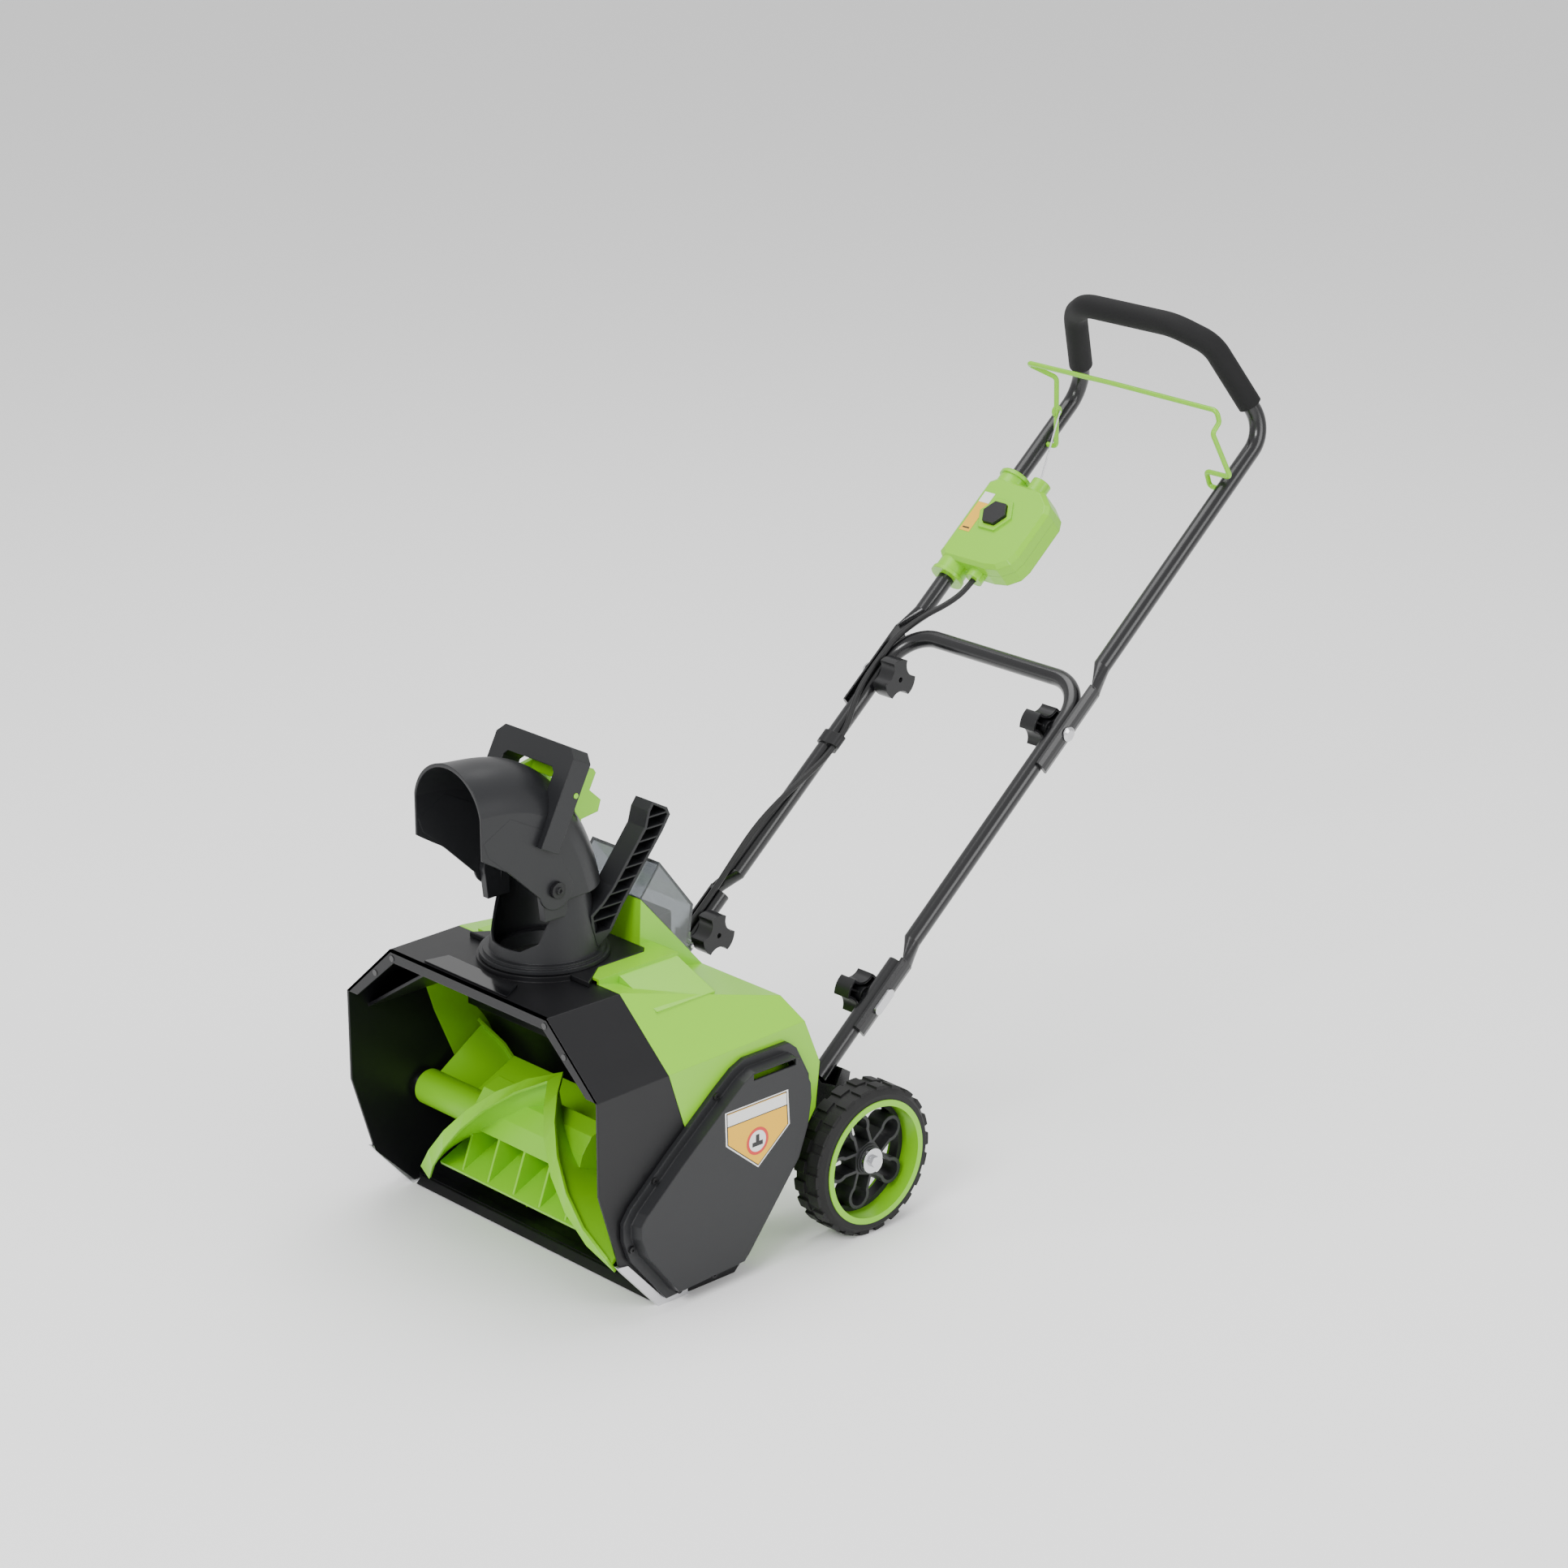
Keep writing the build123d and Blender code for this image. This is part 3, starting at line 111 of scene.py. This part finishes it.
GREEN = (0.215, 0.56, 0.006)
green = plastic("green shell", GREEN, 0.30, 0.12, 1400.0, coat=0.15, edge=0.0015, shine=0.4)
auger_green = plastic("auger green", (0.19, 0.52, 0.004), 0.36, 0.15, 1200.0, edge=0.0012, shine=0.4)
rim_green = plastic("rim green", (0.20, 0.53, 0.006), 0.28, coat=0.1, shine=0.4)
wire = plastic("bail coating", (0.20, 0.53, 0.006), 0.30, coat=0.1, edge=0.0004)
housing_black = plastic("housing black", (0.006, 0.006, 0.007), 0.34, 0.2, 1500.0, edge=0.0015, shine=0.30)
cover_black = plastic("cover charcoal", (0.017, 0.0175, 0.019), 0.36, 0.2, 1500.0, edge=0.0018, shine=0.30)
chute_grey = plastic("chute charcoal", (0.013, 0.0135, 0.015), 0.34, 0.15, 1500.0, edge=0.0015, shine=0.32)
inner_black = plastic("inner black", (0.008, 0.008, 0.009), 0.40, 0.2, 1600.0, edge=0.0012, shine=0.3)
wheel_grey = plastic("wheel charcoal", (0.020, 0.0205, 0.022), 0.40, 0.15, 1200.0, edge=0.0012, shine=0.32)
knob_black = plastic("knob black", (0.010, 0.010, 0.011), 0.30, edge=0.0012, shine=0.35)
tyre_black = plastic("tyre", (0.010, 0.010, 0.010), 0.58, 0.3, 800.0, edge=0.001, shine=0.28)
rubber = plastic("rubber", (0.008, 0.008, 0.0085), 0.45, 0.15, 900.0, edge=0.0004, shine=0.35)
foam = plastic("foam", (0.007, 0.007, 0.0075), 0.72, 0.75, 1000.0, edge=0.002, shine=0.25)
paint = plastic("tube paint", (0.007, 0.007, 0.008), 0.25, 0.05, 2500.0, coat=0.25, edge=0.0006, shine=0.4)
black_screw = plastic("blackened screw", (0.012, 0.012, 0.013), 0.30, metal=0.4, edge=0.0003)
steel = plastic("plated steel", (0.60, 0.60, 0.62), 0.26, 0.05, 2000.0, metal=1.0, edge=0.0005)
skid = plastic("skid steel", (0.66, 0.66, 0.68), 0.32, 0.08, 1200.0, metal=0.9, edge=0.0005)
alloy = plastic("turned alloy", (0.55, 0.55, 0.56), 0.3, metal=1.0)
brass = plastic("contact", (0.6, 0.42, 0.15), 0.3, metal=1.0)
pack_grey = plastic("battery case", (0.020, 0.0205, 0.023), 0.42, 0.2, 1400.0, shine=0.3)
button_black = plastic("button", (0.010, 0.010, 0.011), 0.35, 0.1, 1500.0, shine=0.35)
smoked = clear("smoked lid", (0.42, 0.44, 0.46), 0.06)
label_white = plastic("label white", (0.74, 0.74, 0.72), 0.45)
label_yellow = plastic("label yellow", (0.80, 0.44, 0.004), 0.45)
label_black = plastic("label black", (0.006, 0.006, 0.007), 0.35)
label_red = plastic("label red", (0.62, 0.03, 0.02), 0.45)
gloss_black = plastic("gloss badge", (0.004, 0.004, 0.005), 0.10, coat=0.5, shine=0.4)

FINISH = {
    green: ["rear_shroud", "deflector_trigger", "battery_latch", "switch_box_front", "switch_box_back"],
    rim_green: ["rim_left", "rim_right"],
    auger_green: ["auger_rotor"],
    housing_black: ["auger_housing", "chute_deck"],
    cover_black: ["side_cover_left", "side_cover_right"],
    chute_grey: ["chute_base", "chute_lever", "deflector_hood", "deflector_loop"],
    inner_black: ["cable_clip", "controller", "battery_bay", "deflector_pivots"],
    black_screw: ["cover_screws"],
    wheel_grey: ["spokes_left", "spokes_right"],
    knob_black: ["lower_knob_left", "lower_knob_right", "upper_knob_left", "upper_knob_right"],
    tyre_black: ["tyre_left", "tyre_right"],
    rubber: ["cable_grommet", "drive_belt", "scraper_bar"],
    foam: ["foam_grip"],
    paint: ["lower_tubes", "mid_handle", "upper_handle", "handle_brackets", "wheel_axle"],
    wire: ["bail_lever"],
    steel: ["lower_bolts", "upper_bolts", "hub_bolt_left", "hub_bolt_right", "auger_shaft",
            "auger_bearings", "lid_pin", "link_rod", "motor_stator", "motor_rotor"],
    skid: ["skid_shoes"],
    alloy: ["driven_pulley", "drive_pulley"],
    brass: ["bay_terminals"],
    pack_grey: ["battery_pack"],
    button_black: ["safety_button"],
    smoked: ["battery_lid"],
}
for material, names in FINISH.items():
    for name in names:
        mesh = frame["nodes"][name].data
        mesh.materials.clear()
        mesh.materials.append(material)

# --- labels and small trim ----------------------------------------------------
joints = {j["name"]: j for j in frame["record"]["behaviour"]["joints"]}
fold = Vector(joints["upper_fold"]["pos_m"])
along = (fold - Vector(joints["mid_fold"]["pos_m"])).normalized()
above = Vector((0, -along.z, along.y))


def prism(name, outline, thick, material, body):
    """Thin closed slab: outline points, pushed along the thick vector."""
    count = len(outline)
    points = [Vector(p) for p in outline] + [Vector(p) + Vector(thick) for p in outline]
    faces = [list(range(count))[::-1], list(range(count, 2 * count))]
    faces += [[k, (k + 1) % count, count + (k + 1) % count, count + k] for k in range(count)]
    mesh = bpy.data.meshes.new(name)
    mesh.from_pydata(points, [], faces)
    obj = bpy.data.objects.new(name, mesh)
    bpy.context.collection.objects.link(obj)
    mesh.materials.append(material)
    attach(obj, body)
    return obj


cover_low, cover_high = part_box("side_cover_left")


def on_cover(points, lift=0.0):
    """Millimetres behind the cover's front edge and above the ground, on its outer face."""
    return [(cover_high.x + lift, cover_low.y + a / 1000, h / 1000) for a, h in points]


LABEL_STEP = 0.00008
LABEL_THICK = 0.00016


def cover_label(name, points, level, material):
    prism(name, on_cover(points, level * LABEL_STEP), (LABEL_THICK, 0, 0), material, "chassis")


def shrunk(points, share):
    """Outline pulled in towards its middle."""
    ca = sum(a for a, _ in points) / len(points)
    ch = sum(h for _, h in points) / len(points)
    return [(ca + (a - ca) * share, ch + (h - ch) * share) for a, h in points]


PENTAGON = [(128, 200.5), (217.5, 200.5), (220, 160.7), (174.5, 124.8), (129, 162.7)]
cover_label("label_rim", PENTAGON, 0, label_white)
cover_label("label_line", shrunk(PENTAGON, 0.955), 1, label_black)
cover_label("label_field", shrunk(PENTAGON, 0.925), 2, label_yellow)
cover_label("label_band", [(131.5, 184), (215.5, 184), (214.8, 197.5), (131.2, 197.5)], 3, label_white)
cover_label("label_stroke", [(131.5, 183), (215.5, 183), (215.5, 184), (131.5, 184)], 3, label_black)


def ring_points(a, h, radius, count=40):
    """Circle about a point, as an outline."""
    turns = [2 * math.pi * k / count for k in range(count)]
    return [(a + radius * math.cos(turn), h + radius * math.sin(turn)) for turn in turns]


SIGN = (173.5, 155.5)
cover_label("label_sign", ring_points(*SIGN, 15.5), 3, label_red)
cover_label("label_sign_field", ring_points(*SIGN, 12), 4, label_white)
cover_label("label_sign_mark", [(166, 150), (181, 150), (181, 155), (166, 155)], 5, label_black)
cover_label("label_sign_post", [(171, 155), (176, 155), (176, 163), (171, 163)], 5, label_black)


BOX_FACE = 20.55     # height of the switch box's face above the handle line, in millimetres


def by_handle(points):
    """Millimetres across, along and above the handle line, from the upper fold."""
    return [fold + Vector((x / 1000, 0, 0)) + along * (d / 1000) + above * (u / 1000) for x, d, u in points]


def on_box(points, level):
    """Millimetres across and along the handle from the upper fold, on the switch box's face."""
    return by_handle([(x, d, BOX_FACE + level * 0.1) for x, d in points])


def box_label(name, points, level, material):
    prism(name, on_box(points, level), above * 0.00015, material, "upper")


box_label("box_label", [(-152, 200), (-135.5, 200), (-135.5, 258), (-152, 258)], 0, label_yellow)
box_label("box_label_band", [(-152, 243), (-135.5, 243), (-135.5, 258), (-152, 258)], 1, label_white)
box_label("box_label_line", [(-149, 204), (-138.5, 204), (-138.5, 206), (-149, 206)], 1, label_black)

# --- front rim lip, badge plate and rim screws ------------------------------------
rim_low, rim_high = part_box("auger_housing")
RIM_TOP = 0.322
LIP = 0.014             # depth of the turned-in lip
LIP_THICK = 0.0025
CROWN = 0.128           # half width of the rim's flat top
BEVEL_Z = 0.252
SCREW_RADIUS = 0.0035


def on_rim(points, depth=0.0):
    """Across and up in metres, on the plane of the housing's front edge."""
    return [(x, rim_low.y + depth, z) for x, z in points]


for sign, side in ((1, "left"), (-1, "right")):
    x = rim_high.x
    bevel = [(CROWN, RIM_TOP), (x, BEVEL_Z), (x - 0.018, BEVEL_Z), (CROWN - 0.006, RIM_TOP - LIP)]
    prism("rim_lip_" + side, on_rim([(sign * a, h) for a, h in bevel]), (0, LIP_THICK, 0), housing_black,
          "chassis")
    for number, (a, h) in enumerate([(0.1245, 0.3125), (0.1545, 0.2875)]):
        spot = ring_points(sign * a, h, SCREW_RADIUS, 18)
        prism(f"rim_screw_{side}_{number}", on_rim(spot, -0.0006), (0, 0.001, 0), gloss_black,
              "chassis")
crown = [(-CROWN, RIM_TOP), (CROWN, RIM_TOP)]
crown += [(CROWN - 0.006, RIM_TOP - LIP), (0.006 - CROWN, RIM_TOP - LIP)]
prism("rim_lip_top", on_rim(crown), (0, LIP_THICK, 0), housing_black, "chassis")
badge = [(-0.074, 0.004), (0.060, 0.004), (0.044, 0.032), (-0.068, 0.032)]
prism("badge_plate", [(x, rim_low.y + d, RIM_TOP) for x, d in badge], (0, 0, 0.0024), gloss_black,
      "chassis")

# --- power cable: three lengths, meeting at the two folds ---------------------------
CABLE = 0.007           # diameter, in metres; the routes are in millimetres
CABLE_UPPER = [(-103, 176, 0), (-103, 140, 0), (-108, 112, 5), (-124, 78, 14), (-138, 44, 15),
               (-140, 20, 14.6), (-140, 0, 14.6)]
CABLE_MID = [(-140, 0, 14.6), (-140, -26, 14.6), (-132, -56, 13), (-126, -84, 6), (-126, -122, 6),
             (-128, -156, 12), (-134, -196, 18), (-140, -240, 20), (-141, -290, 17), (-140, -330, 14.6),
             (-140, -374, 14.6)]
CABLE_END = [(-134, 398, 203), (-114, 356, 201), (-96, 338, 208), (-90, 323, 217), (-90, 292, 217)]


def curve_object(name, points, radius):
    data = bpy.data.curves.new(name, "CURVE")
    data.dimensions = "3D"
    data.resolution_u = 10
    data.bevel_depth = radius
    data.bevel_resolution = 6
    data.use_fill_caps = True
    spline = data.splines.new("NURBS")
    spline.points.add(len(points) - 1)
    for point, place in zip(spline.points, points):
        point.co = (*place, 1)
    spline.order_u = 3
    spline.use_endpoint_u = True
    obj = bpy.data.objects.new(name, data)
    bpy.context.collection.objects.link(obj)
    return obj


def baked(name, points, radius):
    """The curve's mesh, alone: a tube, or with no radius its centre line."""
    curve = curve_object(name, points, radius)
    bpy.context.view_layer.update()
    graph = bpy.context.evaluated_depsgraph_get()
    mesh = bpy.data.meshes.new_from_object(curve.evaluated_get(graph))
    bpy.data.objects.remove(curve)
    return mesh


def cable(name, points, body, bend=None):
    """A stretch of cable that rides on a body, or, when bend is given, stays where it is, on no body."""
    line = [v.co.copy() for v in baked(name, points, 0).vertices]
    mesh = baked(name, points, CABLE / 2)
    obj = bpy.data.objects.new(name + "_sheath", mesh)
    bpy.context.collection.objects.link(obj)
    mesh.materials.clear()
    mesh.materials.append(rubber)
    for face in mesh.polygons:
        face.use_smooth = True
    if bend:
        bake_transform(obj)
    else:
        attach(obj, body)
    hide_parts(name)


upper_run = by_handle(CABLE_UPPER)
mid_run = by_handle(CABLE_MID)
lower_run = by_handle([(-140, -374, 14.6), (-140, -398, 14.6)])
lower_run += [Vector((x / 1000, rim_low.y + y / 1000, z / 1000)) for x, y, z in CABLE_END]
cable("cable_upper", upper_run, "upper", ("upper", "mid", upper_run[3], upper_run[-1]))
cable("cable_mid", mid_run, "mid", ("mid", "chassis", mid_run[7], mid_run[-1]))
cable("cable_lower", lower_run[::-1], "chassis")

# --- camera, light and floor ------------------------------------------------------
yaw, pitch = 0.8138383543752874, 0.3450298801579984
right = Vector((math.cos(yaw), math.sin(yaw), 0))
back = Vector((math.sin(yaw) * math.cos(pitch), -math.cos(yaw) * math.cos(pitch), math.sin(pitch)))
up = back.cross(right)
camera_data = bpy.data.cameras.new("camera")
camera_data.lens = 93.168
camera_data.sensor_width = 36.0
camera_data.clip_end = 50.0
camera = bpy.data.objects.new("camera", camera_data)
bpy.context.collection.objects.link(camera)
place = Vector((3.0462931, -2.955625, 1.935581))
camera.matrix_world = Matrix((
    (right.x, up.x, back.x, place.x), (right.y, up.y, back.y, place.y), (right.z, up.z, back.z, place.z),
    (0, 0, 0, 1)))
bpy.context.scene.camera = camera

floor_mesh = bpy.data.meshes.new("floor")
floor_mesh.from_pydata([(-9, -9, 0), (9, -9, 0), (9, 9, 0), (-9, 9, 0)], [], [[0, 1, 2, 3]])
floor = bpy.data.objects.new("floor", floor_mesh)
bpy.context.collection.objects.link(floor)
pale = bpy.data.materials.new("floor")
pale.use_nodes = True
pale.node_tree.nodes["Principled BSDF"].inputs["Base Color"].default_value = (0.97, 0.97, 0.97, 1)
pale.node_tree.nodes["Principled BSDF"].inputs["Roughness"].default_value = 0.9
floor_mesh.materials.append(pale)

world = bpy.data.worlds.new("studio")
world.use_nodes = True
world.node_tree.nodes["Background"].inputs["Color"].default_value = (1, 1, 1, 1)
world.node_tree.nodes["Background"].inputs["Strength"].default_value = 0.95
bpy.context.scene.world = world


def softbox(name, location, target, size, power):
    data = bpy.data.lights.new(name, "AREA")
    data.energy = power
    data.shape = "RECTANGLE"
    data.size, data.size_y = size
    lamp = bpy.data.objects.new(name, data)
    bpy.context.collection.objects.link(lamp)
    lamp.location = location
    lamp.rotation_euler = (Vector(target) - Vector(location)).to_track_quat("-Z", "Y").to_euler()


softbox("key", (1.2, -3.4, 2.8), (0, 0, 0.35), (1.6, 1.2), 120)
softbox("fill", (3.6, 0.6, 1.8), (0, 0, 0.35), (2.2, 1.6), 55)
softbox("top", (-0.6, 0.4, 3.6), (0, 0, 0.3), (2.6, 2.6), 90)
